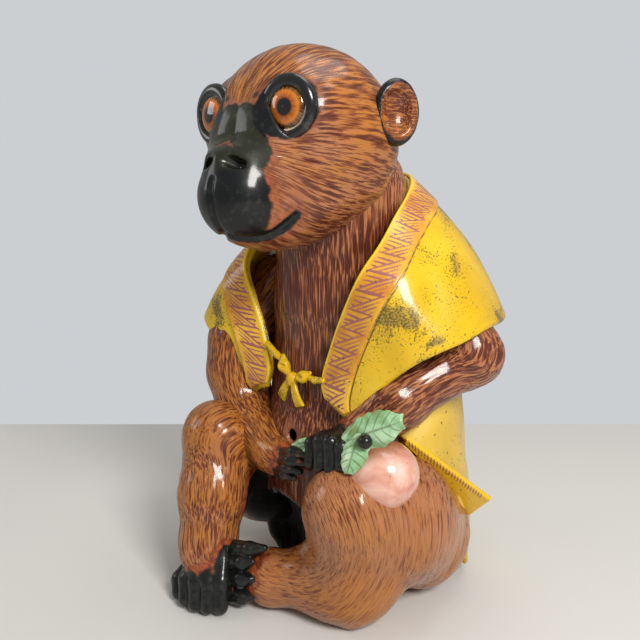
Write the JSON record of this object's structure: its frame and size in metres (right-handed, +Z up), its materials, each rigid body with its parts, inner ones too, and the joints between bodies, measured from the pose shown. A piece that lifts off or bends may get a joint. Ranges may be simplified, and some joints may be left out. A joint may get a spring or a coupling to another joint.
{
  "type": "seated monkey figure",
  "caption": "Hollow glazed ceramic seated monkey in a yellow cape and robe, holding a peach sprig, with set-in glass eyes; a standing ornament.",
  "frame": {"origin": "middle of the footprint box of the figure, on the surface it sits on", "axes": "+Z up, the figure faces -Y, +X is the figure's own left hand side"},
  "size_m": [0.1906, 0.2066, 0.3247],
  "materials": {
    "fur_glaze": "glossy red-brown glaze over incised fur, ochre rubbed on the ridges",
    "black_glaze": "glossy black glaze with worn edges",
    "yellow_glaze": "glossy cadmium yellow paint, speckled and rubbed",
    "band_glaze": "orange yellow with hatched mauve brush strokes",
    "leaf_glaze": "pale green glaze with brown veins",
    "peach_glaze": "glossy pink with brown shading",
    "iris_paint": "amber enamel with a black pupil on the back of the glass",
    "eye_glass": "clear polished glass"
  },
  "bodies": {
    "root": {"torso_shell": "fur_glaze", "head_shell": "fur_glaze", "left_ear": "fur_glaze", "right_ear": "fur_glaze", "left_arm": "fur_glaze", "right_arm": "fur_glaze", "left_leg": "fur_glaze", "right_leg": "fur_glaze", "left_hand": "black_glaze", "right_hand": "black_glaze", "left_foot": "black_glaze", "right_foot": "black_glaze", "left_eye_rim": "black_glaze", "right_eye_rim": "black_glaze", "cape_shell": "yellow_glaze", "robe_skirt": "yellow_glaze", "robe_flap": "yellow_glaze", "bow_knot": "yellow_glaze", "left_bow_loop": "yellow_glaze", "right_bow_loop": "yellow_glaze", "left_bow_tail": "yellow_glaze", "right_bow_tail": "yellow_glaze", "left_tie": "yellow_glaze", "right_tie": "yellow_glaze", "left_collar_band": "band_glaze", "right_collar_band": "band_glaze", "upper_leaf": "leaf_glaze", "lower_leaf": "leaf_glaze", "outer_leaf": "leaf_glaze", "peach": "peach_glaze", "left_eye_iris": "iris_paint", "right_eye_iris": "iris_paint", "left_eye_glass": "eye_glass", "right_eye_glass": "eye_glass"}
  },
  "joints": []
}
